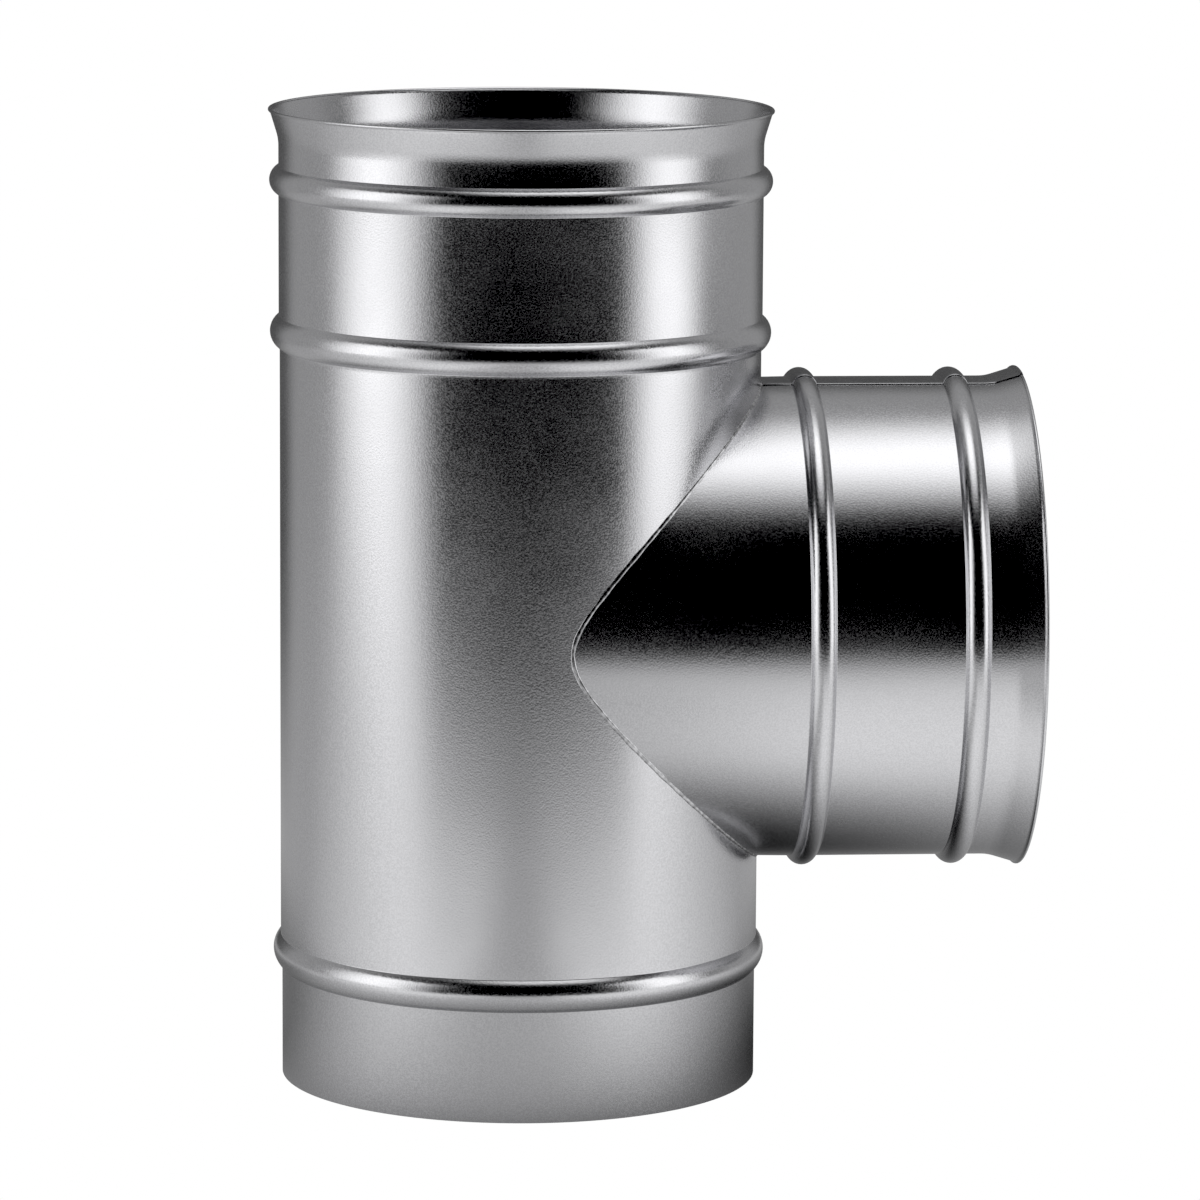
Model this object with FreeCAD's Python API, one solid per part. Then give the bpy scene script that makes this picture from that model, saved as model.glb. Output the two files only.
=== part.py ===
"""Steel duct tee, 90 degrees, 150 mm nominal bore: run pipe, branch pipe and the weld between them.

All sizes are in millimetres and all angles in degrees. The frame has +Z along the axis of the run
pipe, with z = 0 at the end plane of its plain spigot. +X points along the branch pipe and out of
its mouth. The branch axis crosses the run axis at height BRANCH_HEIGHT.
"""
import math
import os

import FreeCAD
import Part

# sheet and bores, the sockets a little wider and the spigot a little narrower than the run's body
SHEET = 0.6
RUN_BORE_R = 75.0
SOCKET_OPENING = 0.3
SPIGOT_DRAW_IN = 0.45

# run pipe, stretches from the spigot end upward
SPIGOT_TO_STOP_BEAD = 39.9
STOP_BEAD_TO_BRANCH = 30.0
BRANCH_TO_RUN_SOCKET_BEAD = 15.4
RUN_BEAD_SPACING = 47.6
RUN_MOUTH_BEAD_SETBACK = 22.5

# branch pipe, stretches from the outside of the run outward
RUN_TO_BRANCH_SOCKET_BEAD = 13.1
BRANCH_BEAD_SPACING = 47.6
BRANCH_MOUTH_BEAD_SETBACK = 21.4

# foot of the branch, which narrows towards the run so that it lands inside the run's flanks
FOOT_TAPER_DEG = 0.95
FOOT_BEND_R = 20.0

# rolled beads, sizes of the hollow side
SOCKET_BEAD_RISE = 2.9
RUN_SOCKET_BEAD_HALF_WIDTH = 5.2
RUN_MOUTH_BEAD_HALF_WIDTH = 4.6
BRANCH_BEAD_HALF_WIDTH = 4.1
STOP_BEAD_RISE = 2.5
STOP_BEAD_HALF_WIDTH = 5.2
BEAD_FOOT_R = 0.9
BORE_STEP_LENGTH = 6.0

# bell mouth: gentle bend, straight cone, then a tighter lip at the cut edge
BELL_BEND_R = 16.0
BELL_CONE_DEG = 17.0
BELL_CONE_LENGTH = 6.0
BELL_LIP_R = 2.8
BELL_LIP_DEG = 40.0

# lap seam of the branch sheet, placed forward of the top of the branch
LAP_EDGE_DEG = 8.0
LAP_SPAN_DEG = 30.0
LAP_STEP = 0.54

# weld between branch and run
WELD_HALF_WIDTH = 0.8
WELD_RISE = 0.45
WELD_STATIONS = 12
WELD_SLICES = 8

# how far cutting shapes reach past what they cut
OVERRUN = 10.0

SOCKET_BORE_R = RUN_BORE_R + SOCKET_OPENING
SPIGOT_BORE_R = RUN_BORE_R - SPIGOT_DRAW_IN
RUN_OUTER_R = RUN_BORE_R + SHEET
SOCKET_OUTER_R = SOCKET_BORE_R + SHEET
BRANCH_HEIGHT = SPIGOT_TO_STOP_BEAD + STOP_BEAD_TO_BRANCH + SOCKET_OUTER_R
RUN_SOCKET_BEAD_HEIGHT = BRANCH_HEIGHT + SOCKET_OUTER_R + BRANCH_TO_RUN_SOCKET_BEAD
RUN_MOUTH_BEAD_HEIGHT = RUN_SOCKET_BEAD_HEIGHT + RUN_BEAD_SPACING
RUN_LENGTH = RUN_MOUTH_BEAD_HEIGHT + RUN_MOUTH_BEAD_SETBACK
BRANCH_SOCKET_BEAD_REACH = RUN_OUTER_R + RUN_TO_BRANCH_SOCKET_BEAD
BRANCH_MOUTH_BEAD_REACH = BRANCH_SOCKET_BEAD_REACH + BRANCH_BEAD_SPACING
BRANCH_LENGTH = BRANCH_MOUTH_BEAD_REACH + BRANCH_MOUTH_BEAD_SETBACK
FOOT_TAPER = math.radians(FOOT_TAPER_DEG)
UP = FreeCAD.Vector(0, 0, 1)
ALONG_BRANCH = FreeCAD.Vector(1, 0, 0)
BRANCH_ROOT = FreeCAD.Vector(0, 0, BRANCH_HEIGHT)


class Course:
    """Path of the bore side of the sheet, as (distance along the axis, radius, heading)."""

    def __init__(self, along, radius, heading=0.0):
        self.along = along
        self.radius = radius
        self.heading = heading
        self.legs = []

    def here(self):
        return (self.along, self.radius, self.heading)

    def straight(self, length):
        start = self.here()
        self.along += length * math.cos(self.heading)
        self.radius += length * math.sin(self.heading)
        self.legs.append((start, self.here()))

    def straight_to(self, along):
        self.straight((along - self.along) / math.cos(self.heading))

    def bend(self, radius, turn):
        """Arc of the given radius, turning away from the axis where turn is positive."""
        stations = [self.here()]
        side = 1.0 if turn > 0 else -1.0
        centre_along = self.along - side * radius * math.sin(self.heading)
        centre_radius = self.radius + side * radius * math.cos(self.heading)
        for share in (0.5, 1.0):
            heading = stations[0][2] + turn * share
            along = centre_along + side * radius * math.sin(heading)
            rise = centre_radius - side * radius * math.cos(heading)
            stations.append((along, rise, heading))
        self.along, self.radius, self.heading = stations[-1]
        self.legs.append(tuple(stations))

    def bead(self, middle, rise, half_width):
        """Round bead pushed outward, centred at middle, with small bends at its feet."""
        turn = 2.0 * math.atan2(rise, half_width)
        crown = half_width / math.sin(turn) - BEAD_FOOT_R
        self.straight_to(middle - half_width)
        self.bend(BEAD_FOOT_R, turn)
        self.bend(crown, -2.0 * turn)
        self.bend(BEAD_FOOT_R, turn)

    def step(self, length, new_radius):
        """Smooth change of radius by two equal and opposite bends."""
        change = new_radius - self.radius
        turn = 2.0 * math.atan2(abs(change), length)
        radius = length / (2.0 * math.sin(turn))
        side = 1.0 if change > 0 else -1.0
        self.bend(radius, side * turn)
        self.bend(radius, -side * turn)


def bell_mouth_length():
    """Distance along the axis that the bell mouth takes up."""
    cone = math.radians(BELL_CONE_DEG)
    lip = math.radians(BELL_CONE_DEG + BELL_LIP_DEG)
    bent = BELL_BEND_R * math.sin(cone)
    coned = BELL_CONE_LENGTH * math.cos(cone)
    lipped = BELL_LIP_R * (math.sin(lip) - math.sin(cone))
    return bent + coned + lipped


def add_bell_mouth(course, end):
    """Opens the socket outward, with the bore side of its edge at the given distance."""
    course.straight_to(end - bell_mouth_length())
    course.bend(BELL_BEND_R, math.radians(BELL_CONE_DEG))
    course.straight(BELL_CONE_LENGTH)
    course.bend(BELL_LIP_R, math.radians(BELL_LIP_DEG))


def run_course():
    """Spigot, stop bead, body, socket bead, mouth bead and bell mouth of the run."""
    course = Course(0.0, SPIGOT_BORE_R)
    course.bead(SPIGOT_TO_STOP_BEAD, STOP_BEAD_RISE, STOP_BEAD_HALF_WIDTH)
    course.step(BORE_STEP_LENGTH, RUN_BORE_R)
    course.straight_to(RUN_SOCKET_BEAD_HEIGHT - RUN_SOCKET_BEAD_HALF_WIDTH - BORE_STEP_LENGTH)
    course.step(BORE_STEP_LENGTH, SOCKET_BORE_R)
    course.bead(RUN_SOCKET_BEAD_HEIGHT, SOCKET_BEAD_RISE, RUN_SOCKET_BEAD_HALF_WIDTH)
    course.bead(RUN_MOUTH_BEAD_HEIGHT, SOCKET_BEAD_RISE, RUN_MOUTH_BEAD_HALF_WIDTH)
    add_bell_mouth(course, RUN_LENGTH)
    return course


def foot_bore_radius(along):
    """Bore radius of the tapered foot of the branch, at a distance from the run axis."""
    foot_end = BRANCH_SOCKET_BEAD_REACH - BRANCH_BEAD_HALF_WIDTH - FOOT_BEND_R * math.sin(FOOT_TAPER)
    end_radius = SOCKET_BORE_R - FOOT_BEND_R * (1.0 - math.cos(FOOT_TAPER))
    return end_radius - (foot_end - along) * math.tan(FOOT_TAPER)


def foot_outer_radius(along):
    """Outside radius of the tapered foot of the branch, at a distance from the run axis."""
    return foot_bore_radius(along) + SHEET / math.cos(FOOT_TAPER)


def branch_course(start):
    """Tapered foot, socket bead, mouth bead and bell mouth of the branch, from the given distance on."""
    foot_end = BRANCH_SOCKET_BEAD_REACH - BRANCH_BEAD_HALF_WIDTH - FOOT_BEND_R * math.sin(FOOT_TAPER)
    course = Course(start, foot_bore_radius(start), FOOT_TAPER)
    course.straight_to(foot_end)
    course.bend(FOOT_BEND_R, -FOOT_TAPER)
    course.bead(BRANCH_SOCKET_BEAD_REACH, SOCKET_BEAD_RISE, BRANCH_BEAD_HALF_WIDTH)
    course.bead(BRANCH_MOUTH_BEAD_REACH, SOCKET_BEAD_RISE, BRANCH_BEAD_HALF_WIDTH)
    add_bell_mouth(course, BRANCH_LENGTH)
    return course


def shifted(station, depth):
    """Point of the sheet at the given depth outward of its bore side."""
    along, radius, heading = station
    return (along - depth * math.sin(heading), radius + depth * math.cos(heading))


def edges_of(course, depth, place):
    """Edges of one side of the sheet, in order along the course."""
    edges = []
    for leg in course.legs:
        points = [place(*shifted(station, depth)) for station in leg]
        if (points[0] - points[-1]).Length < 1e-6:
            continue
        if len(points) == 2:
            edges.append(Part.makeLine(points[0], points[1]))
        else:
            edges.append(Part.Arc(points[0], points[1], points[2]).toShape())
    return edges


def section_between(course, low, high, place):
    """Flat section of the sheet between two depths, with square ends."""
    first = course.legs[0][0]
    last = course.legs[-1][-1]
    near = Part.makeLine(place(*shifted(first, low)), place(*shifted(first, high)))
    far = Part.makeLine(place(*shifted(last, low)), place(*shifted(last, high)))
    edges = edges_of(course, low, place) + edges_of(course, high, place) + [near, far]
    return Part.Face(Part.Wire(Part.__sortEdges__(edges)))


def outline_to_line(course, depth, radius, extra, place):
    """Flat area between one side of the sheet and a straight line at the given radius."""
    last = course.legs[-1][-1]
    along, rise = shifted(last, depth)
    edges = edges_of(course, depth, place)
    first_along, first_rise = shifted(course.legs[0][0], depth)
    if extra > 0.0:
        ahead = along + extra * math.cos(last[2])
        rise_ahead = rise + extra * math.sin(last[2])
        edges.append(Part.makeLine(place(along, rise), place(ahead, rise_ahead)))
        edges.append(Part.makeLine(place(ahead, rise_ahead), place(ahead, radius)))
        edges.append(Part.makeLine(place(ahead, radius), place(first_along, radius)))
    else:
        back = (rise - radius) / math.cos(last[2])
        foot = along + back * math.sin(last[2])
        edges.append(Part.makeLine(place(along, rise), place(foot, radius)))
        edges.append(Part.makeLine(place(foot, radius), place(first_along, radius)))
    edges.append(Part.makeLine(place(first_along, radius), place(first_along, first_rise)))
    return Part.Face(Part.Wire(Part.__sortEdges__(edges)))


def in_run_plane(along, radius):
    return FreeCAD.Vector(radius, 0, along)


def branch_direction(angle):
    """Unit direction out of the branch axis, turned by the angle from the top to the front."""
    turn = math.radians(angle)
    return FreeCAD.Vector(0, -math.sin(turn), math.cos(turn))


def branch_plane(angle):
    """Placing function for sections of the branch in the half plane at the given angle."""
    outward = branch_direction(angle)

    def place(along, radius):
        return BRANCH_ROOT + ALONG_BRANCH * along + outward * radius

    return place


def foot_sector(low, extra, start, span, axis_point):
    """Solid sector of the branch's foot, from a radius to so much beyond its outside."""
    place = branch_plane(start)
    reach = RUN_OUTER_R + OVERRUN
    near = foot_outer_radius(0.0) + extra
    far = foot_outer_radius(reach) + extra
    corners = [(0.0, low), (reach, low), (reach, far), (0.0, near), (0.0, low)]
    outline = Part.makePolygon([place(*corner) for corner in corners])
    return Part.Face(outline).revolve(axis_point, ALONG_BRANCH, span)


def make_run_pipe():
    """Sheet of the run with the hole that opens into the branch."""
    section = section_between(run_course(), 0.0, SHEET, in_run_plane)
    pipe = section.revolve(FreeCAD.Vector(0, 0, 0), UP, 360)
    reach = RUN_OUTER_R + OVERRUN
    hole = Part.makeCone(foot_bore_radius(0.0), foot_bore_radius(reach), reach, BRANCH_ROOT, ALONG_BRANCH)
    return pipe.cut(hole)


def lap_axis_shift():
    """How far the axis of the outer sheet end stands back, so that its edge rises by LAP_STEP."""
    turn = 1.0 - math.cos(math.radians(LAP_SPAN_DEG))
    share = LAP_STEP / (SOCKET_OUTER_R * turn)
    return 0.5 * SOCKET_OUTER_R * (math.sqrt(1.0 + 4.0 * share) - 1.0)


def make_lap_sector(course):
    """Stretch of the branch where the outer sheet end rises over the inner one."""
    start = LAP_EDGE_DEG - LAP_SPAN_DEG
    place = branch_plane(start)
    back = BRANCH_ROOT - branch_direction(start) * lap_axis_shift()
    outer = outline_to_line(course, SHEET, SOCKET_BORE_R - OVERRUN, 0.0, place)
    outer = outer.revolve(back, ALONG_BRANCH, LAP_SPAN_DEG)
    beyond = SOCKET_BORE_R + SOCKET_BEAD_RISE + SHEET + OVERRUN
    inner = outline_to_line(course, 0.0, beyond, OVERRUN / 2.0, place)
    inner = inner.revolve(BRANCH_ROOT, ALONG_BRANCH, LAP_SPAN_DEG)
    return outer.common(inner)


def make_branch_pipe():
    """Sheet of the branch, its end trimmed to the outside of the run."""
    course = branch_course(0.0)
    section = section_between(course, 0.0, SHEET, branch_plane(LAP_EDGE_DEG))
    plain = section.revolve(BRANCH_ROOT, ALONG_BRANCH, 360.0 - LAP_SPAN_DEG)
    pipe = plain.fuse(make_lap_sector(course))
    length = RUN_LENGTH + 2.0 * OVERRUN
    run = Part.makeCylinder(RUN_OUTER_R, length, FreeCAD.Vector(0, 0, -OVERRUN), UP)
    return pipe.cut(run)


def saddle_reach(rise):
    """Distance from the run axis to the joint line, seen from the front, at a rise off the branch axis."""
    root = foot_outer_radius(0.0)
    slope = math.tan(FOOT_TAPER)
    gap = RUN_OUTER_R ** 2 - root ** 2 + rise ** 2
    steep = 1.0 + slope ** 2
    return (math.sqrt((root * slope) ** 2 + steep * gap) - root * slope) / steep


def weld_band():
    """Prism over the front half that keeps a narrow band on both sides of the joint line."""
    top = SOCKET_OUTER_R + LAP_STEP + WELD_RISE + 2.0 * WELD_HALF_WIDTH
    shift = WELD_HALF_WIDTH * math.sqrt(2.0)
    depth = RUN_OUTER_R + OVERRUN
    sides = []
    for move in (-shift, shift):
        points = []
        for index in range(2 * WELD_STATIONS + 1):
            share = index / WELD_STATIONS - 1.0
            rise = top * share * abs(share)
            reach = saddle_reach(rise) + move
            points.append(FreeCAD.Vector(reach, -depth, BRANCH_HEIGHT + rise))
        curve = Part.BSplineCurve()
        curve.interpolate(points)
        sides.append(curve.toShape())
    ends = []
    for side in (0, -1):
        first = sides[0].Vertexes[side].Point
        second = sides[1].Vertexes[side].Point
        ends.append(Part.makeLine(first, second))
    wire = Part.Wire(Part.__sortEdges__(sides + ends))
    return Part.Face(wire).extrude(FreeCAD.Vector(0, depth, 0))


def run_front_half(radius):
    """Front half of a cylinder round the run axis, cut along the plane through both pipe axes."""
    base = FreeCAD.Vector(0, 0, BRANCH_HEIGHT - SOCKET_OUTER_R - 2.0 * OVERRUN)
    height = 2.0 * SOCKET_OUTER_R + 4.0 * OVERRUN
    side = FreeCAD.Vector(radius, 0, 0)
    edge = Part.makeLine(base + side, base - side)
    arc = Part.Arc(base - side, base + FreeCAD.Vector(0, -radius, 0), base + side)
    face = Part.Face(Part.Wire([edge, arc.toShape()]))
    return face.extrude(UP * height)


def make_lap_room():
    """Filled shape of the lap sector, so that the weld passes over the raised sheet edge."""
    start = LAP_EDGE_DEG - LAP_SPAN_DEG
    back = branch_direction(start) * -lap_axis_shift()
    low = SOCKET_BORE_R - OVERRUN
    raised = foot_sector(low, 0.0, start, LAP_SPAN_DEG, BRANCH_ROOT + back)
    return raised.common(foot_sector(low - OVERRUN, OVERRUN, start, LAP_SPAN_DEG, BRANCH_ROOT))


def make_saddle_weld():
    """Low weld bead that covers the joint line and sits on both sheets."""
    band = weld_band()
    over_run = band.common(run_front_half(RUN_OUTER_R + WELD_RISE))
    over_branch = band.common(foot_sector(0.0, WELD_RISE, 0.0, 180.0, BRANCH_ROOT))
    skin = over_run.fuse(over_branch)
    skin = skin.cut(run_front_half(RUN_OUTER_R))
    skin = skin.cut(foot_sector(0.0, 0.0, 0.0, 180.0, BRANCH_ROOT))
    front = in_slices(skin.cut(make_lap_room()))
    rear = in_slices(skin.mirror(FreeCAD.Vector(0, 0, 0), FreeCAD.Vector(0, 1, 0)).cut(make_lap_room()))
    return front[0].fuse(front[1:] + rear)


def in_slices(shape):
    """Level slices of a shape, so that its long curved faces come in short stretches."""
    box = shape.BoundBox
    step = box.ZLength / WELD_SLICES
    slices = []
    for index in range(WELD_SLICES):
        corner = FreeCAD.Vector(box.XMin - OVERRUN, box.YMin - OVERRUN, box.ZMin + index * step)
        slab = Part.makeBox(box.XLength + 2.0 * OVERRUN, box.YLength + 2.0 * OVERRUN, step, corner)
        slices.append(shape.common(slab))
    return slices


def save(shape, name):
    """Writes one node as a single solid."""
    solids = shape.Solids
    if len(solids) != 1:
        raise ValueError("%s has %d solids" % (name, len(solids)))
    solid = solids[0]
    if not solid.isValid():
        raise ValueError("%s is not valid" % name)
    solid.exportStep(os.path.join("parts", name + ".step"))
    print(name, round(solid.Volume / 1000.0, 2), "cm3", len(solid.Faces), "faces")


os.makedirs("parts", exist_ok=True)
save(make_run_pipe(), "run_pipe")
save(make_branch_pipe(), "branch_pipe")
save(make_saddle_weld(), "saddle_weld")
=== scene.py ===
"""Looks of the steel duct tee: smooth sheet metal, its rolled beads, lap seam and weld.

Lengths of the pieces are in millimetres and those of the studio in metres. Every mesh is written
in metres. The run pipe stands on +Z with its spigot end at z = 0, and the branch points along +X.
"""
import enum
import logging
import math
from dataclasses import dataclass
from typing import Callable, Iterable, List, Sequence, Tuple

import bmesh
import bpy
from mathutils import Matrix, Vector


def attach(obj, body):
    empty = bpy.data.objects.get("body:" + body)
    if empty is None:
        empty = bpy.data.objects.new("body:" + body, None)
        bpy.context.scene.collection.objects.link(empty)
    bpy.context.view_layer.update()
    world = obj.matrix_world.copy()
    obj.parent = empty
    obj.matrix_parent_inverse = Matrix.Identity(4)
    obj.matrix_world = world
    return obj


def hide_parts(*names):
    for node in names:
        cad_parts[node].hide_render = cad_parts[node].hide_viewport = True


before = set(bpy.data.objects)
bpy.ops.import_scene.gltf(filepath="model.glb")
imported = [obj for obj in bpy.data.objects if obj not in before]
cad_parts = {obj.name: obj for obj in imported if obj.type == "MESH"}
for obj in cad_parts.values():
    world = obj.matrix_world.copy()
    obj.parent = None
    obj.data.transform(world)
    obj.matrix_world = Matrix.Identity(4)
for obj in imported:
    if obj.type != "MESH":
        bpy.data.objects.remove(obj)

LOG = logging.getLogger("duct_tee")
MM = 0.001
BODY = "root"
AHEAD = Vector((1.0, 0.0, 0.0))
CRISP_ANGLE = 32.0
MERGE_DISTANCE = 1e-5

Station = Tuple[float, float, float]
Point = Tuple[float, float]
Place = Tuple[float, float, float]
Colour = Tuple[float, float, float]


class Slot(enum.Enum):
    """Material slots of the record."""

    SHEET = "steel_sheet"
    WELD = "weld_metal"


class SheetPath:
    """Traces the bore side of a sheet as stations of distance along the axis, radius and heading."""

    NOSE_POINTS = 11
    NOSE_WRAP = 10.0
    NOSE_INSET = 0.9

    def __init__(self, along: float, radius: float, heading: float = 0.0) -> None:
        """Starts at a point of the bore side.

        Args:
            along: First distance along the pipe axis.
            radius: First bore radius.
            heading: First angle away from the axis, in radians.
        """
        self.stations: List[Station] = [(along, radius, heading)]

    def straight_to(self, along: float, pieces: int = 1) -> None:
        """Goes on in the same heading.

        Args:
            along: Distance along the axis to stop at.
            pieces: Number of equal parts.
        """
        last, radius, heading = self.stations[-1]
        for index in range(1, pieces + 1):
            step = (along - last) * index / pieces
            self.stations.append((last + step, radius + step * math.tan(heading), heading))

    def bend(self, radius: float, turn: float, pieces: int) -> None:
        """Follows an arc.

        Args:
            radius: Radius of the bore side.
            turn: Angle in radians, away from the axis where positive.
            pieces: Number of short chords.
        """
        along, rise, start = self.stations[-1]
        side = math.copysign(1.0, turn)
        centre = (along - side * radius * math.sin(start), rise + side * radius * math.cos(start))
        for index in range(1, pieces + 1):
            heading = start + turn * index / pieces
            self.stations.append((
                centre[0] + side * radius * math.sin(heading),
                centre[1] - side * radius * math.cos(heading),
                heading,
            ))

    def outline(self, sheet: float, nose: float = 0.5) -> List[Point]:
        """Gives the closed section of the sheet, with its far edge rolled to a slightly thicker round.

        Args:
            sheet: Thickness of the sheet.
            nose: Radius of the round edge.

        Returns:
            Points of distance and radius, bore side first and outer side back.
        """
        inner = [(along, radius) for along, radius, _ in self.stations]
        outer = [
            (along - sheet * math.sin(heading), radius + sheet * math.cos(heading))
            for along, radius, heading in self.stations
        ]
        heading = self.stations[-1][2]
        ahead = Vector((math.cos(heading), math.sin(heading)))
        outward = Vector((-math.sin(heading), math.cos(heading)))
        middle = Vector(inner[-1]) + outward * sheet / 2.0 - ahead * nose
        back = ahead * nose * self.NOSE_INSET
        inner[-1] = tuple(middle - outward * sheet / 2.0 - back)
        outer[-1] = tuple(middle + outward * sheet / 2.0 - back)
        cap = []
        part = (180.0 + 2.0 * self.NOSE_WRAP) / (self.NOSE_POINTS - 1)
        for index in range(self.NOSE_POINTS):
            turn = math.radians(part * index - self.NOSE_WRAP)
            cap.append(tuple(middle - outward * nose * math.cos(turn) + ahead * nose * math.sin(turn)))
        return inner + cap + outer[::-1]


@dataclass(frozen=True)
class Bead:
    """Round bead rolled into a sheet, as sizes of its hollow side."""

    rise: float = 2.9
    half_width: float = 4.1
    foot: float = 0.9
    foot_pieces: int = 5
    crown_pieces: int = 14

    def trace(self, path: SheetPath, middle: float, gain: float = 0.0) -> None:
        """Adds the bead to a path.

        Args:
            path: Path that has reached a point before the bead.
            middle: Distance of the bead's crown along the axis.
            gain: How much wider the bore is after the bead.
        """
        turn = 2.0 * math.atan2(self.rise, self.half_width)
        crown = self.half_width / math.sin(turn) - self.foot
        path.straight_to(middle - self.half_width)
        first = len(path.stations)
        path.bend(self.foot, turn, self.foot_pieces)
        path.bend(crown, -2.0 * turn, self.crown_pieces)
        path.bend(self.foot, turn, self.foot_pieces)
        for index in range(first, len(path.stations)):
            along, radius, heading = path.stations[index]
            share = (along - middle + self.half_width) / (2.0 * self.half_width)
            path.stations[index] = (along, radius + gain * share, heading)


@dataclass(frozen=True)
class BellMouth:
    """Opening at the end of a socket: a gentle bend, a cone and a tighter lip."""

    bend: float = 16.0
    cone: float = math.radians(17.0)
    cone_length: float = 6.0
    lip: float = 2.8
    lip_turn: float = math.radians(40.0)
    bend_pieces: int = 5
    lip_pieces: int = 6

    def length(self) -> float:
        """Gives the distance along the axis that the mouth takes."""
        lip_end = math.sin(self.cone + self.lip_turn) - math.sin(self.cone)
        return self.bend * math.sin(self.cone) + self.cone_length * math.cos(self.cone) + self.lip * lip_end

    def trace(self, path: SheetPath, end: float) -> None:
        """Adds the mouth to a path.

        Args:
            path: Path that has reached a point before the mouth.
            end: Distance of the mouth's edge along the axis.
        """
        path.straight_to(end - self.length())
        path.bend(self.bend, self.cone, self.bend_pieces)
        path.straight_to(path.stations[-1][0] + self.cone_length * math.cos(self.cone))
        path.bend(self.lip, self.lip_turn, self.lip_pieces)


@dataclass(frozen=True)
class TeeSizes:
    """Sizes that the two pipes and the weld share."""

    sheet: float = 0.6
    run_bore: float = 75.0
    socket_bore: float = 75.3
    spigot_bore: float = 74.55
    stop_bead: float = 39.9
    branch_height: float = 145.8
    socket_bead: float = 237.1
    mouth_bead: float = 284.7
    run_end: float = 307.2
    branch_socket_bead: float = 88.7
    branch_mouth_bead: float = 136.3
    branch_end: float = 157.7
    branch_bead: Bead = Bead()
    foot_taper: float = math.radians(0.95)
    foot_bend: float = 20.0

    @property
    def run_outer(self) -> float:
        """Outside radius of the run's body."""
        return self.run_bore + self.sheet

    @property
    def foot_end(self) -> float:
        """Distance from the run axis at which the branch's tapered foot ends."""
        bead_start = self.branch_socket_bead - self.branch_bead.half_width
        return bead_start - self.foot_bend * math.sin(self.foot_taper)

    @property
    def foot_root(self) -> float:
        """Bore radius of the tapered foot, carried on to the run axis."""
        end = self.socket_bore - self.foot_bend * (1.0 - math.cos(self.foot_taper))
        return end - self.foot_end * math.tan(self.foot_taper)

    @property
    def foot_outer_root(self) -> float:
        """Outside radius of the tapered foot, carried on to the run axis."""
        return self.foot_root + self.sheet / math.cos(self.foot_taper)

    def foot_reach(self, root: float, sine: float) -> float:
        """Gives how far out a line of the tapered foot meets the outside of the run.

        Args:
            root: Radius of that line, carried on to the run axis.
            sine: Sine of its angle from the top of the branch.

        Returns:
            Distance from the run axis along the branch.
        """
        slope = math.tan(self.foot_taper)
        square = sine * sine
        lean = 1.0 + slope * slope * square
        across = root * slope * square
        rest = self.run_outer ** 2 - root * root * square
        return (math.sqrt(across * across + lean * rest) - across) / lean


@dataclass(frozen=True)
class LapSeam:
    """Place of the branch sheet's outer end, which rises off its neighbour towards its edge."""

    edge: float = 8.0
    span: float = 30.0
    step: float = 0.34
    radius: float = 75.9

    @property
    def shift(self) -> float:
        """How far the axis of the raised stretch stands back from the branch axis."""
        share = self.step / (self.radius * (1.0 - math.cos(math.radians(self.span))))
        return 0.5 * self.radius * (math.sqrt(1.0 + 4.0 * share) - 1.0)

    def raised(self, radius: float, turn: float) -> float:
        """Gives the radius of a point on the raised stretch.

        Args:
            radius: Radius before the rise.
            turn: Degrees from the start of the stretch.

        Returns:
            Radius after the rise.
        """
        if turn <= 0.0:
            return radius
        angle = math.radians(turn)
        back = self.shift
        return math.sqrt((radius + back) ** 2 - (back * math.sin(angle)) ** 2) - back * math.cos(angle)


def finished(mesh_name: str, bm: bmesh.types.BMesh, sharp: float = CRISP_ANGLE) -> bpy.types.Object:
    """Turns a bmesh in millimetres into a smooth object at the origin.

    Args:
        mesh_name: Name of the object and its mesh.
        bm: Source mesh, freed here.
        sharp: Edges that turn by more than this many degrees stay crisp.

    Returns:
        The new object, linked to the scene.
    """
    bmesh.ops.scale(bm, vec=(MM, MM, MM), verts=bm.verts)
    bmesh.ops.recalc_face_normals(bm, faces=bm.faces)
    mesh = bpy.data.meshes.new(mesh_name)
    bm.to_mesh(mesh)
    bm.free()
    piece = bpy.data.objects.new(mesh_name, mesh)
    bpy.context.scene.collection.objects.link(piece)
    smooth(mesh, sharp)
    return piece


def smooth(mesh: bpy.types.Mesh, sharp: float) -> None:
    """Shades a mesh smoothly apart from its sharp edges.

    Args:
        mesh: Mesh to shade.
        sharp: Smallest angle of a crisp edge, in degrees.
    """
    mesh.shade_smooth()
    mesh.set_sharp_from_angle(angle=math.radians(sharp))


def ramp_between(tree: bpy.types.NodeTree, value: bpy.types.NodeSocket, start: Point, end: Point,
                 soft: bool = False) -> bpy.types.NodeSocket:
    """Adds a value carried from one range to another and held at its ends.

    Args:
        tree: Node tree to add to.
        value: Value to carry over.
        start: Two ends of its range.
        end: What they become.
        soft: Whether the change starts and ends gently.

    Returns:
        Socket that gives the new value.
    """
    ramp = tree.nodes.new("ShaderNodeMapRange")
    if soft:
        ramp.interpolation_type = "SMOOTHSTEP"
    ramp.inputs["From Min"].default_value = start[0]
    ramp.inputs["From Max"].default_value = start[1]
    ramp.inputs["To Min"].default_value = end[0]
    ramp.inputs["To Max"].default_value = end[1]
    tree.links.new(value, ramp.inputs["Value"])
    return ramp.outputs["Result"]


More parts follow.
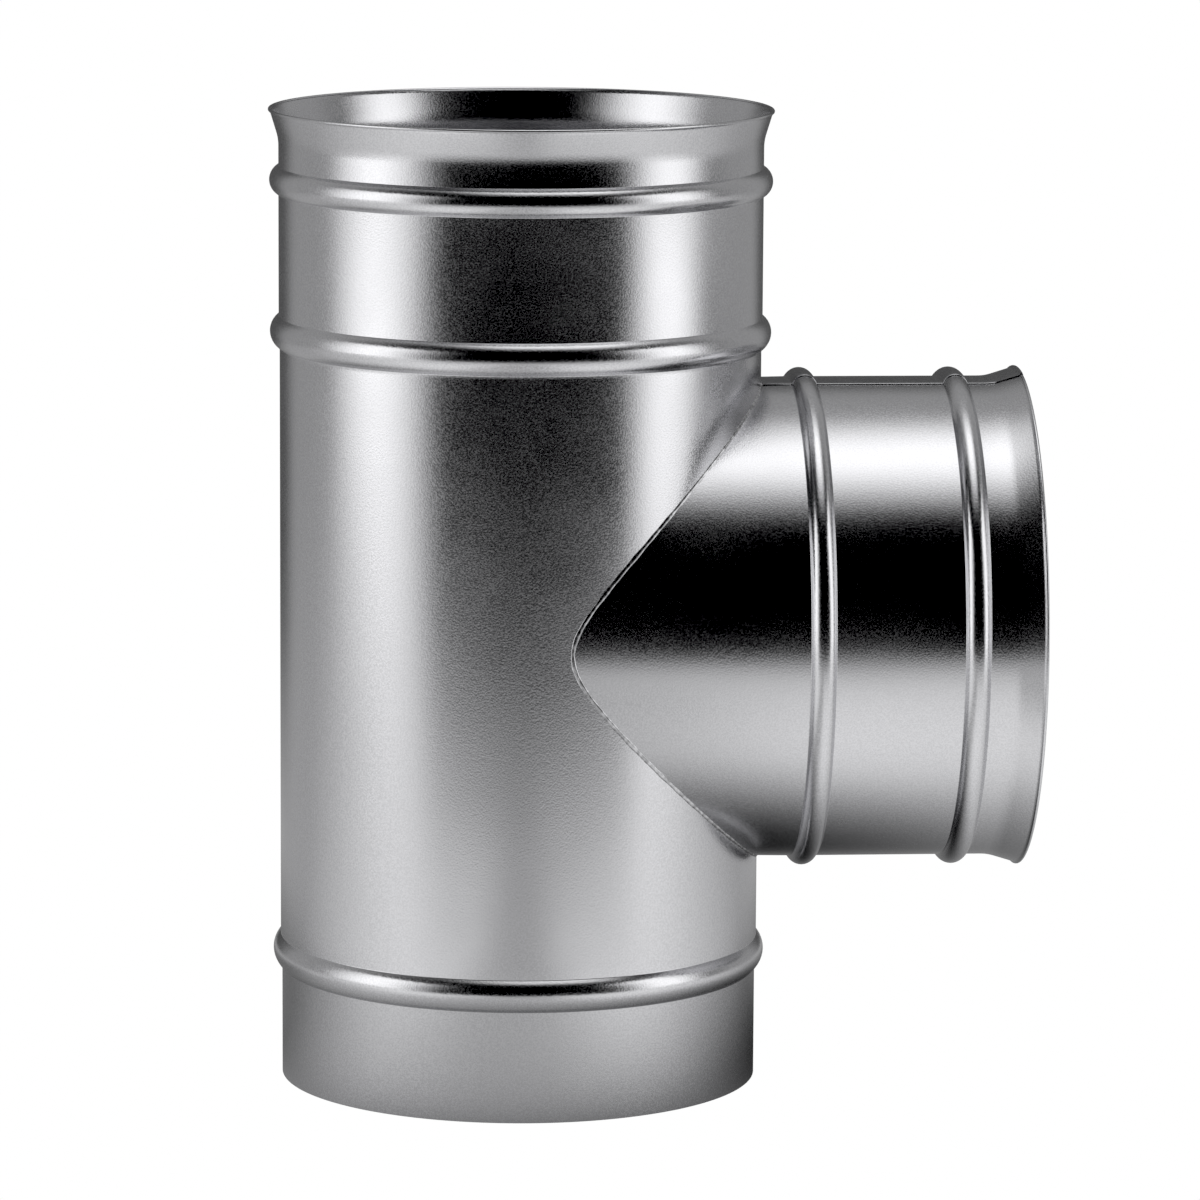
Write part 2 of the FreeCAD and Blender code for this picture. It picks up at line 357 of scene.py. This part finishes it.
@dataclass(frozen=True)
class Steel:
    """Satin cold-rolled steel, with fine pits and a cloudy sheen."""

    name: str
    colour: Colour = (0.60, 0.60, 0.615)
    roughness: float = 0.22
    spread: float = 0.03
    glint: float = 0.07
    fleck: float = 0.06
    pits: float = 0.17
    pit_depth: float = 0.0001
    grit_scale: float = 1900.0
    grit_range: Point = (0.32, 0.68)
    cloud_scale: float = 38.0
    cloud_detail: float = 3.0
    cloud_range: Point = (0.25, 0.75)

    def build(self) -> bpy.types.Material:
        """Makes the node material.

        Returns:
            The material.
        """
        material = bpy.data.materials.new(self.name)
        material.use_nodes = True
        tree = material.node_tree
        shader = tree.nodes["Principled BSDF"]
        shader.inputs["Metallic"].default_value = 1.0
        clouds = self.noise(tree, self.cloud_scale, self.cloud_detail)
        speckle = self.noise(tree, self.grit_scale, 0.0)
        grit = ramp_between(tree, speckle, self.grit_range, (0.0, 1.0))
        tree.links.new(self.tone(tree, grit), shader.inputs["Base Color"])
        tree.links.new(self.sheen(tree, clouds, grit), shader.inputs["Roughness"])
        tree.links.new(self.surface(tree, speckle), shader.inputs["Normal"])
        return material

    def noise(self, tree: bpy.types.NodeTree, scale: float, detail: float) -> bpy.types.NodeSocket:
        """Adds a noise that stays with the piece.

        Args:
            tree: Node tree to add to.
            scale: Scale of the noise, per metre.
            detail: Number of finer layers.

        Returns:
            Socket that gives the noise.
        """
        place = tree.nodes.new("ShaderNodeTexCoord")
        texture = tree.nodes.new("ShaderNodeTexNoise")
        texture.inputs["Scale"].default_value = scale
        texture.inputs["Detail"].default_value = detail
        tree.links.new(place.outputs["Object"], texture.inputs["Vector"])
        return texture.outputs["Fac"]

    def tone(self, tree: bpy.types.NodeTree, grit: bpy.types.NodeSocket) -> bpy.types.NodeSocket:
        """Adds the colour, darker and lighter by the fine grit.

        Args:
            tree: Node tree to add to.
            grit: Fine noise between 0 and 1.

        Returns:
            Socket that gives the colour.
        """
        tone = tree.nodes.new("ShaderNodeMix")
        tone.data_type = "RGBA"
        tone.inputs["A"].default_value = (*[level * (1.0 - self.fleck) for level in self.colour], 1.0)
        tone.inputs["B"].default_value = (*[level * (1.0 + self.fleck) for level in self.colour], 1.0)
        tree.links.new(grit, tone.inputs["Factor"])
        return tone.outputs["Result"]

    def sheen(self, tree: bpy.types.NodeTree, clouds: bpy.types.NodeSocket,
              grit: bpy.types.NodeSocket) -> bpy.types.NodeSocket:
        """Adds the roughness, from wide clouds and the fine grit.

        Args:
            tree: Node tree to add to.
            clouds: Wide noise.
            grit: Fine noise between 0 and 1.

        Returns:
            Socket that gives the roughness.
        """
        smoothest = self.roughness - self.glint / 2.0
        ends = (smoothest - self.spread, smoothest + self.spread)
        wide = ramp_between(tree, clouds, self.cloud_range, ends)
        rough = tree.nodes.new("ShaderNodeMath")
        rough.operation = "MULTIPLY_ADD"
        rough.inputs[1].default_value = self.glint
        tree.links.new(grit, rough.inputs[0])
        tree.links.new(wide, rough.inputs[2])
        return rough.outputs["Value"]

    def surface(self, tree: bpy.types.NodeTree, speckle: bpy.types.NodeSocket) -> bpy.types.NodeSocket:
        """Adds the relief of the fine pits.

        Args:
            tree: Node tree to add to.
            speckle: Fine noise.

        Returns:
            Socket that gives the direction of the surface.
        """
        bump = tree.nodes.new("ShaderNodeBump")
        bump.inputs["Strength"].default_value = self.pits
        bump.inputs["Distance"].default_value = self.pit_depth
        tree.links.new(speckle, bump.inputs["Height"])
        return bump.outputs["Normal"]


def section_loop(bm: bmesh.types.BMesh, points: Sequence[Point],
                 place: Callable[[float, float], Vector]) -> List:
    """Adds a closed line through a few section points.

    Args:
        bm: Mesh to add to.
        points: Distances and radii.
        place: Gives the position of a distance and radius.

    Returns:
        The new vertices and edges, ready to be spun.
    """
    verts = [bm.verts.new(place(*point)) for point in points]
    edges = [bm.edges.new((verts[index - 1], vert)) for index, vert in enumerate(verts)]
    return verts + edges


@dataclass
class Piece:
    """Part of the tee that stands for one CAD node, with the sizes it shares, its slot and its finish."""

    sizes: TeeSizes
    node: str
    slot: Slot
    steel: Steel

    def dress(self, piece: bpy.types.Object) -> None:
        """Sets the finished object on the body, in its node's place and finish.

        Args:
            piece: Finished object.
        """
        piece.data.materials.clear()
        piece.data.materials.append(self.steel.build())
        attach(piece, BODY)
        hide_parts(self.node)


@dataclass
class RunPipe(Piece):
    """Upright pipe with its spigot, three beads, bell mouth and the hole for the branch."""

    node: str = "run_pipe"
    slot: Slot = Slot.SHEET
    steel: Steel = Steel("run_steel")
    socket_bead: Bead = Bead(half_width=5.2)
    mouth_bead: Bead = Bead(half_width=4.6)
    stop_bead: Bead = Bead(rise=2.5, half_width=5.2)
    mouth: BellMouth = BellMouth()
    turns: int = 240
    body_pieces: int = 48
    bead_gap: float = 1.0
    hole_sides: int = 256
    hole_length: float = 100.0
    hole_start: float = 0.001

    def path(self) -> SheetPath:
        """Traces the bore side from the spigot end to the mouth.

        Returns:
            Finished path, along the run axis.
        """
        sizes = self.sizes
        path = SheetPath(0.0, sizes.spigot_bore)
        self.stop_bead.trace(path, sizes.stop_bead, sizes.run_bore - sizes.spigot_bore)
        body_end = sizes.socket_bead - self.socket_bead.half_width - self.bead_gap
        path.straight_to(body_end, self.body_pieces)
        self.socket_bead.trace(path, sizes.socket_bead, sizes.socket_bore - sizes.run_bore)
        self.mouth_bead.trace(path, sizes.mouth_bead)
        self.mouth.trace(path, sizes.run_end)
        return path

    def tube(self) -> bpy.types.Object:
        """Spins the section of the sheet into a closed tube.

        Returns:
            Tube without the hole for the branch.
        """
        bm = bmesh.new()
        points = self.path().outline(self.sizes.sheet)
        loop = section_loop(bm, points, lambda along, radius: Vector((-radius, 0.0, along)))
        bmesh.ops.spin(bm, geom=loop, cent=(0, 0, 0), axis=(0, 0, 1), angle=math.tau, steps=self.turns,
                       use_merge=True)
        bmesh.ops.remove_doubles(bm, verts=bm.verts, dist=MERGE_DISTANCE)
        return finished("run_sheet", bm)

    def cut_hole(self, tube: bpy.types.Object) -> None:
        """Cuts the opening into the branch.

        Args:
            tube: Closed tube to cut, changed in place.
        """
        bm = bmesh.new()
        sizes = self.sizes
        far = sizes.foot_root + self.hole_length * math.tan(sizes.foot_taper)
        bmesh.ops.create_cone(bm, segments=self.hole_sides, radius1=sizes.foot_root, radius2=far,
                              depth=self.hole_length, cap_ends=True)
        bmesh.ops.rotate(bm, verts=bm.verts, cent=(0, 0, 0), matrix=Matrix.Rotation(math.pi / 2, 3, "Y"))
        middle = self.hole_length / 2.0 + self.hole_start
        bmesh.ops.translate(bm, verts=bm.verts, vec=(middle, 0.0, sizes.branch_height))
        cutter = finished("run_hole_cutter", bm)
        cut = tube.modifiers.new("branch_hole", "BOOLEAN")
        cut.operation = "DIFFERENCE"
        cut.solver = "EXACT"
        cut.object = cutter
        graph = bpy.context.evaluated_depsgraph_get()
        mesh = bpy.data.meshes.new_from_object(tube.evaluated_get(graph))
        tube.modifiers.clear()
        tube.data = mesh
        smooth(mesh, CRISP_ANGLE)
        bpy.data.objects.remove(cutter)

    def build(self) -> bpy.types.Object:
        """Makes the finished pipe.

        Returns:
            Pipe with its hole.
        """
        tube = self.tube()
        self.cut_hole(tube)
        return tube


@dataclass
class BranchPipe(Piece):
    """Pipe that leaves to the side, rolled from one sheet whose ends lap near its top."""

    node: str = "branch_pipe"
    slot: Slot = Slot.SHEET
    steel: Steel = Steel("branch_steel")
    seam: LapSeam = LapSeam()
    mouth: BellMouth = BellMouth()
    under: float = 24.0
    step: float = 1.5
    edge_round: float = 0.22
    edge_segments: int = 3
    lip_points: int = 8
    bend_pieces: int = 3

    def path(self) -> SheetPath:
        """Traces the bore side from the run axis to the mouth.

        Returns:
            Finished path, along the branch axis.
        """
        sizes = self.sizes
        path = SheetPath(0.0, sizes.foot_root, sizes.foot_taper)
        path.straight_to(sizes.foot_end)
        path.bend(sizes.foot_bend, -sizes.foot_taper, self.bend_pieces)
        sizes.branch_bead.trace(path, sizes.branch_socket_bead)
        sizes.branch_bead.trace(path, sizes.branch_mouth_bead)
        self.mouth.trace(path, sizes.branch_end)
        return path

    def build(self) -> bpy.types.Object:
        """Spins the sheet past a full turn, lifts its outer end and trims its foot to the run.

        Returns:
            Finished pipe.
        """
        bm = bmesh.new()
        path = self.path()
        points = path.outline(self.sizes.sheet)
        start = math.radians(self.seam.edge - self.under)
        outward = Vector((0.0, -math.sin(start), math.cos(start)))
        root = Vector((0.0, 0.0, self.sizes.branch_height))
        loop = section_loop(bm, points, lambda along, radius: root + outward * radius + AHEAD * along)
        span = 360.0 + self.under
        steps = round(span / self.step)
        bmesh.ops.spin(bm, geom=loop, cent=root, axis=(1, 0, 0), angle=math.radians(span), steps=steps,
                       use_merge=False)
        self.shape(bm, len(points), span / steps, root)
        lip = len(points) - len(path.stations) + self.lip_points
        self.close_ends(bm, len(points), lip)
        return finished("branch_sheet", bm)

    def close_ends(self, bm: bmesh.types.BMesh, ring: int, lip: int) -> None:
        """Fills the two cut edges of the rolled sheet and rounds the one that shows, up to the lip.

        Args:
            bm: Mesh of the sheet, in the order in which it was spun.
            ring: Number of vertices in one section.
            lip: Place in the section of the first outer vertex behind the lip.
        """
        bm.verts.ensure_lookup_table()
        last = len(bm.verts) - ring
        shown = {bm.verts[index] for index in range(last + lip, len(bm.verts) - 1)}
        border = [edge for edge in bm.edges if len(edge.link_faces) == 1]
        bmesh.ops.edgeloop_fill(bm, edges=border)
        rounded = [edge for edge in border if edge.verts[0] in shown and edge.verts[1] in shown]
        bmesh.ops.bevel(bm, geom=rounded, offset=self.edge_round, offset_type="OFFSET",
                        segments=self.edge_segments, profile=0.5, affect="EDGES",
                        clamp_overlap=False, material=-1)

    def shape(self, bm: bmesh.types.BMesh, ring: int, step: float, root: Vector) -> None:
        """Lifts the outer end of the sheet and sets its foot on the run.

        Args:
            bm: Mesh of the sheet, in the order in which it was spun.
            ring: Number of vertices in one section.
            step: Degrees between sections.
            root: Point on the branch axis at the run axis.
        """
        bm.verts.ensure_lookup_table()
        slope = math.tan(self.sizes.foot_taper)
        for index, vert in enumerate(bm.verts):
            offset = vert.co - root
            along = offset.x
            offset.x = 0.0
            outward = offset.normalized()
            turn = (index // ring) * step - 360.0 + self.seam.span - self.under
            radius = self.seam.raised(offset.length, turn)
            if along < MERGE_DISTANCE:
                along = self.sizes.foot_reach(radius, outward.y)
                radius += slope * along
            vert.co = root + outward * radius + AHEAD * along


@dataclass
class SaddleWeld(Piece):
    """Thin weld bead along the line where the branch stands on the run."""

    node: str = "saddle_weld"
    slot: Slot = Slot.WELD
    steel: Steel = Steel("weld_steel", colour=(0.46, 0.46, 0.47), roughness=0.26, fleck=0.25, pits=0.25,
                         grit_scale=700.0)
    seam: LapSeam = LapSeam()
    half_width: float = 0.78
    height: float = 0.40
    ripple: float = 0.025
    pitch: float = 3.1
    drifts: Tuple[Point, Point] = ((1.9, 0.29), (1.3, 0.83))
    swell: float = 0.16
    swell_rates: Point = (0.61, 0.173)
    stations: int = 1400
    sides: int = 12
    ring_radius: float = 10.0
    probe: float = 1e-4
    crisp_angle: float = 80.0

    def point(self, angle: float) -> Vector:
        """Gives a point of the joint line.

        Args:
            angle: Angle round the branch axis, from the top towards the front.

        Returns:
            Position in millimetres.
        """
        sizes = self.sizes
        turned = math.degrees(math.remainder(angle, math.tau)) - self.seam.edge + self.seam.span
        root = sizes.foot_outer_root
        if turned < self.seam.span:
            root = self.seam.raised(root, turned)
        reach = sizes.foot_reach(root, math.sin(angle))
        radius = root + reach * math.tan(sizes.foot_taper)
        return Vector((reach, -radius * math.sin(angle), sizes.branch_height + radius * math.cos(angle)))

    def normal(self, at: Vector, angle: float) -> Vector:
        """Gives the direction half way between the outward directions of both sheets.

        Args:
            at: Point of the joint line.
            angle: Its angle round the branch axis.

        Returns:
            Unit direction.
        """
        of_run = Vector((at.x, at.y, 0.0)).normalized()
        of_branch = Vector((0.0, -math.sin(angle), math.cos(angle)))
        return (of_run + of_branch).normalized()

    def build(self) -> bpy.types.Object:
        """Spins a small round section and lays it along the joint line.

        Returns:
            Finished bead.
        """
        bm = bmesh.new()
        circle = bmesh.ops.create_circle(bm, segments=self.sides, radius=1.0)["verts"]
        bmesh.ops.rotate(bm, verts=circle, cent=(0, 0, 0), matrix=Matrix.Rotation(math.pi / 2, 3, "X"))
        local = [(vert.co.x, vert.co.z) for vert in circle]
        bmesh.ops.translate(bm, verts=circle, vec=(0.0, 0.0, self.ring_radius))
        geometry = circle + bm.edges[:]
        bmesh.ops.spin(bm, geom=geometry, cent=(0, 0, 0), axis=(1, 0, 0), angle=math.tau,
                       steps=self.stations, use_merge=True)
        bm.verts.ensure_lookup_table()
        self.lay(bm, local)
        return finished("weld_bead", bm, sharp=self.crisp_angle)

    def lay(self, bm: bmesh.types.BMesh, local: Sequence[Point]) -> None:
        """Moves each ring of the spun section to its station of the joint line.

        Args:
            bm: Spun ring, in the order of its stations.
            local: Places of one ring's vertices in the section.
        """
        travelled = 0.0
        before = self.point(0.0)
        for index in range(self.stations):
            angle = math.tau * index / self.stations
            here = self.point(angle)
            ahead = (self.point(angle + self.probe) - self.point(angle - self.probe)).normalized()
            travelled += (here - before).length
            before = here
            out = self.normal(here, angle)
            across = ahead.cross(out).normalized()
            drift = sum(size * math.sin(travelled * rate) for size, rate in self.drifts)
            wave = math.sin(math.tau * travelled / self.pitch + drift)
            slow, slower = (math.sin(travelled * rate) for rate in self.swell_rates)
            swell = 1.0 + self.swell * slow * slower
            for number, (wide, high) in enumerate(local):
                height = self.height * swell + self.ripple * wave * max(high, 0.0)
                offset = across * wide * self.half_width * swell + out * high * height
                bm.verts[index * self.sides + number].co = here + offset


def towards(azimuth: float, elevation: float) -> Vector:
    """Gives the direction from the tee to a light or camera.

    Args:
        azimuth: Degrees from the front, positive to the right.
        elevation: Degrees above the floor.

    Returns:
        Unit direction.
    """
    turn, lift = math.radians(azimuth), math.radians(elevation)
    return Vector((math.sin(turn) * math.cos(lift), -math.cos(turn) * math.cos(lift), math.sin(lift)))


@dataclass(frozen=True)
class SoftBox:
    """Rectangular soft light that faces a point near the tee, in metres and degrees."""

    MIDDLE = 0.5
    MARGIN = 1e-4

    name: str
    azimuth: float
    elevation: float
    distance: float
    width: float
    height: float
    radiance: float
    fall: Point = (1.0, 0.0)
    aim: Place = (0.03, 0.0, 0.15)

    def build(self) -> bpy.types.Object:
        """Makes the light, which the camera itself doesn't see.

        Returns:
            The light's object.
        """
        light = bpy.data.lights.new(self.name, "AREA")
        light.shape = "RECTANGLE"
        light.size = self.width
        light.size_y = self.height
        light.energy = self.radiance * self.width * self.height * math.pi
        self.soften(light)
        lamp = bpy.data.objects.new(self.name, light)
        back = towards(self.azimuth, self.elevation)
        lamp.location = Vector(self.aim) + back * self.distance
        lamp.rotation_euler = back.to_track_quat("Z", "Y").to_euler()
        lamp.visible_camera = False
        bpy.context.scene.collection.objects.link(lamp)
        return lamp

    def soften(self, light: bpy.types.AreaLight) -> None:
        """Lets the light fade from its middle line towards its edges.

        Args:
            light: Light to fade, by the shares of its width and height given in fall.
        """
        light.use_nodes = True
        tree = light.node_tree
        emission = next(node for node in tree.nodes if node.type == "EMISSION")
        place = tree.nodes.new("ShaderNodeNewGeometry")
        split = tree.nodes.new("ShaderNodeSeparateXYZ")
        tree.links.new(place.outputs["Parametric"], split.inputs["Vector"])
        levels = []
        for axis, share in zip("XY", self.fall):
            from_middle = tree.nodes.new("ShaderNodeMath")
            from_middle.operation = "SUBTRACT"
            from_middle.inputs[1].default_value = self.MIDDLE
            tree.links.new(split.outputs[axis], from_middle.inputs[0])
            size = tree.nodes.new("ShaderNodeMath")
            size.operation = "ABSOLUTE"
            tree.links.new(from_middle.outputs["Value"], size.inputs[0])
            fade = (self.MIDDLE - self.MIDDLE * share, self.MIDDLE + self.MARGIN)
            levels.append(ramp_between(tree, size.outputs["Value"], fade, (1.0, 0.0), soft=True))
        both = tree.nodes.new("ShaderNodeMath")
        both.operation = "MULTIPLY"
        tree.links.new(levels[0], both.inputs[0])
        tree.links.new(levels[1], both.inputs[1])
        tree.links.new(both.outputs["Value"], emission.inputs["Strength"])


@dataclass(frozen=True)
class Shade:
    """Round or oval part of the floor that is dimmed to a level within the first of two rings."""

    middle: Point
    stretch: float
    rings: Point
    level: float


@dataclass(frozen=True)
class LongLens:
    """Camera at the photograph's place, slightly above and to the left, in metres and degrees."""

    focal: float = 197.64
    azimuth: float = -4.2969
    elevation: float = 9.1485
    roll: float = 0.3244
    distance: float = 2.08223
    aim_right: float = 0.025384
    aim_height: float = 0.151565
    clip: Point = (0.05, 100.0)

    def build(self) -> None:
        """Makes the camera and looks through it."""
        data = bpy.data.cameras.new("camera")
        data.lens = self.focal
        data.clip_start, data.clip_end = self.clip
        camera = bpy.data.objects.new("camera", data)
        turn, roll = math.radians(self.azimuth), math.radians(self.roll)
        back = towards(self.azimuth, self.elevation)
        right = Vector((math.cos(turn), math.sin(turn), 0.0))
        up = back.cross(right)
        side = right * math.cos(roll) + up * math.sin(roll)
        top = up * math.cos(roll) - right * math.sin(roll)
        target = right * self.aim_right + Vector((0.0, 0.0, self.aim_height))
        turned = Matrix((side, top, back)).transposed().to_4x4()
        camera.matrix_world = Matrix.Translation(target + back * self.distance) @ turned
        bpy.context.scene.collection.objects.link(camera)
        bpy.context.scene.camera = camera


@dataclass
class Studio:
    """Pale floor, dim room, soft boxes and the camera."""

    boxes: Sequence[SoftBox] = (
        SoftBox("left_box", azimuth=-73.5, elevation=10.0, distance=1.5, width=2.1, height=1.7,
                radiance=1.75, fall=(1.0, 0.0)),
        SoftBox("right_box", azimuth=68.0, elevation=10.0, distance=1.5, width=1.6, height=1.7,
                radiance=1.7, fall=(0.9, 0.0)),
        SoftBox("top_box", azimuth=0.0, elevation=86.6, distance=1.3, width=1.6, height=1.75,
                radiance=1.72, fall=(0.8, 1.0), aim=(0.20, 0.0, 0.15)),
    )
    floor_side: float = 24.0
    floor_height: float = -0.0004
    patch_side: float = 6.0
    patch_height: float = -0.0002
    white_level: float = 1.0
    floor_level: float = 1.07
    floor_near: float = 0.14
    floor_far: float = 1.10
    floor_stretch: float = 0.35
    branch_shade: Shade = Shade((0.04, 0.02), 1.0, (0.03, 0.16), 0.12)
    foot_shade: Shade = Shade((-0.02, -0.25), 2.6, (0.08, 0.36), 0.58)
    rear_shade: Shade = Shade((-0.01, 0.12), 1.0, (0.10, 0.32), 0.38)
    rear_level: float = 0.50
    rear_turn: Point = (-0.6, 0.45)
    wall_stops: Tuple[float, float, float, float] = (0.35, 0.72, 0.87, 0.965)
    wall_level: float = 0.40
    wall_middle: float = 0.10
    dark_level: float = 0.004
    black_point: float = 0.016
    lens: LongLens = LongLens()

    def floor(self) -> None:
        """Lays the pale floor, and the lit patch of it that the steel mirrors."""
        floor = self.plane("studio_floor", self.floor_side, self.floor_height)
        floor.data.materials.append(self.glow("floor_white", self.white_level))
        floor.visible_glossy = False
        floor.visible_diffuse = False
        patch = self.plane("studio_floor_lit", self.patch_side, self.patch_height)
        patch.data.materials.append(self.lit_patch())
        patch.visible_camera = False

    def plane(self, name: str, size: float, height: float) -> bpy.types.Object:
        """Makes a level square.

        Args:
            name: Name of the object.
            size: Side in metres.
            height: Height in metres.

        Returns:
            The new object.
        """
        bm = bmesh.new()
        bmesh.ops.create_grid(bm, x_segments=1, y_segments=1, size=size / 2.0)
        bmesh.ops.translate(bm, verts=bm.verts, vec=(0.0, 0.0, height))
        mesh = bpy.data.meshes.new(name)
        bm.to_mesh(mesh)
        bm.free()
        plane = bpy.data.objects.new(name, mesh)
        bpy.context.scene.collection.objects.link(plane)
        return plane

    def glow(self, name: str, level: float) -> bpy.types.Material:
        """Makes an evenly bright material.

        Args:
            name: Name of the material.
            level: Brightness.

        Returns:
            The material.
        """
        material = bpy.data.materials.new(name)
        material.use_nodes = True
        tree = material.node_tree
        tree.nodes.clear()
        emission = tree.nodes.new("ShaderNodeEmission")
        emission.inputs["Strength"].default_value = level
        output = tree.nodes.new("ShaderNodeOutputMaterial")
        tree.links.new(emission.outputs["Emission"], output.inputs["Surface"])
        return material

    def lit_patch(self) -> bpy.types.Material:
        """Makes the floor's light, which ends some way off and is shaded below the tee.

        Returns:
            The material.
        """
        material = self.glow("floor_patch", self.floor_level)
        tree = material.node_tree
        emission = next(node for node in tree.nodes if node.type == "EMISSION")
        output = next(node for node in tree.nodes if node.type == "OUTPUT_MATERIAL")
        reach = Shade((0.0, 0.0), self.floor_stretch, (self.floor_near, self.floor_far), 0.0)
        fade = self.oval(tree, reach, 1.0, 0.0)
        strength = self.rear_ramp(tree)
        for shade in (self.branch_shade, self.foot_shade, self.rear_shade):
            strength = self.product(tree, strength, self.oval(tree, shade, shade.level, 1.0))
        tree.links.new(strength, emission.inputs["Strength"])
        clear = tree.nodes.new("ShaderNodeBsdfTransparent")
        mix = tree.nodes.new("ShaderNodeMixShader")
        tree.links.new(fade, mix.inputs["Fac"])
        tree.links.new(clear.outputs["BSDF"], mix.inputs[1])
        tree.links.new(emission.outputs["Emission"], mix.inputs[2])
        tree.links.new(mix.outputs["Shader"], output.inputs["Surface"])
        return material

    def product(self, tree: bpy.types.NodeTree, first: bpy.types.NodeSocket,
                second: bpy.types.NodeSocket) -> bpy.types.NodeSocket:
        """Multiplies two values.

        Args:
            tree: Node tree to add to.
            first: One value.
            second: The other value.

        Returns:
            Socket that gives their product.
        """
        node = tree.nodes.new("ShaderNodeMath")
        node.operation = "MULTIPLY"
        tree.links.new(first, node.inputs[0])
        tree.links.new(second, node.inputs[1])
        return node.outputs["Value"]

    def rear_ramp(self, tree: bpy.types.NodeTree) -> bpy.types.NodeSocket:
        """Gives the floor's brightness, which falls off behind the tee.

        Args:
            tree: Node tree to add to.

        Returns:
            Socket that gives the brightness.
        """
        place = tree.nodes.new("ShaderNodeTexCoord")
        unit = tree.nodes.new("ShaderNodeVectorMath")
        unit.operation = "NORMALIZE"
        tree.links.new(place.outputs["Object"], unit.inputs[0])
        split = tree.nodes.new("ShaderNodeSeparateXYZ")
        tree.links.new(unit.outputs["Vector"], split.inputs["Vector"])
        levels = (self.floor_level, self.rear_level)
        return ramp_between(tree, split.outputs["Y"], self.rear_turn, levels)

    def oval(self, tree: bpy.types.NodeTree, shade: Shade, inside: float,
             outside: float) -> bpy.types.NodeSocket:
        """Adds a value that changes with the distance from a point of the floor.

        Args:
            tree: Node tree to add to.
            shade: Place and rings of the change.
            inside: Value within the first ring.
            outside: Value beyond the second ring.

        Returns:
            Socket that gives the value.
        """
        place = tree.nodes.new("ShaderNodeTexCoord")
        squeeze = tree.nodes.new("ShaderNodeMapping")
        across, ahead = shade.middle
        squeeze.inputs["Location"].default_value = (-across * shade.stretch, -ahead, 0.0)
        squeeze.inputs["Scale"].default_value = (shade.stretch, 1.0, 1.0)
        tree.links.new(place.outputs["Object"], squeeze.inputs["Vector"])
        length = tree.nodes.new("ShaderNodeVectorMath")
        length.operation = "LENGTH"
        tree.links.new(squeeze.outputs["Vector"], length.inputs[0])
        return ramp_between(tree, length.outputs["Value"], shade.rings, (inside, outside), soft=True)

    def wall(self, tree: bpy.types.NodeTree) -> bpy.types.NodeSocket:
        """Gives the brightness that the steel mirrors: dark in front, with a grey wall behind.

        Args:
            tree: Node tree to add to.

        Returns:
            Socket that gives the colour.
        """
        place = tree.nodes.new("ShaderNodeTexCoord")
        split = tree.nodes.new("ShaderNodeSeparateXYZ")
        tree.links.new(place.outputs["Generated"], split.inputs["Vector"])
        turn = ramp_between(tree, split.outputs["Y"], (-1.0, 1.0), (0.0, 1.0))
        wall = tree.nodes.new("ShaderNodeValToRGB")
        wall.color_ramp.interpolation = "EASE"
        stops = wall.color_ramp.elements
        dark_end, wall_start, wall_end, middle = self.wall_stops
        stops[0].position, stops[1].position = dark_end, wall_start
        stops[0].color = (self.dark_level,) * 3 + (1.0,)
        stops[1].color = (self.wall_level,) * 3 + (1.0,)
        stops.new(wall_end).color = (self.wall_level,) * 3 + (1.0,)
        stops.new(middle).color = (self.wall_middle,) * 3 + (1.0,)
        tree.links.new(turn, wall.inputs["Fac"])
        return wall.outputs["Color"]

    def room(self) -> None:
        """Makes the surroundings, which are white where the camera looks at them."""
        world = bpy.data.worlds.new("studio")
        world.use_nodes = True
        tree = world.node_tree
        tree.nodes.clear()
        dim = tree.nodes.new("ShaderNodeBackground")
        tree.links.new(self.wall(tree), dim.inputs["Color"])
        white = tree.nodes.new("ShaderNodeBackground")
        rays = tree.nodes.new("ShaderNodeLightPath")
        mix = tree.nodes.new("ShaderNodeMixShader")
        tree.links.new(rays.outputs["Is Camera Ray"], mix.inputs["Fac"])
        tree.links.new(dim.outputs["Background"], mix.inputs[1])
        tree.links.new(white.outputs["Background"], mix.inputs[2])
        output = tree.nodes.new("ShaderNodeOutputWorld")
        tree.links.new(mix.outputs["Shader"], output.inputs["Surface"])
        bpy.context.scene.world = world

    def tones(self) -> None:
        """Sets the plain view, with the darkest tones taken down to black."""
        view = bpy.context.scene.view_settings
        view.view_transform = "Standard"
        view.look = "None"
        view.use_curve_mapping = True
        view.curve_mapping.black_level = (self.black_point,) * 3
        view.curve_mapping.update()

    def build(self) -> None:
        """Makes the whole studio."""
        self.lens.build()
        self.floor()
        self.room()
        for box in self.boxes:
            box.build()
        self.tones()


def main() -> None:
    """Builds the studio and the three pieces, and notes the number of faces of each piece."""
    logging.basicConfig(level=logging.INFO, format="%(name)s %(message)s")
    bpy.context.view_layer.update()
    Studio().build()
    sizes = TeeSizes()
    for part in (RunPipe(sizes), BranchPipe(sizes), SaddleWeld(sizes)):
        piece = part.build()
        part.dress(piece)
        LOG.info("%s stands for %s with %d faces", piece.name, part.node, len(piece.data.polygons))


if __name__ == "__main__":
    main()
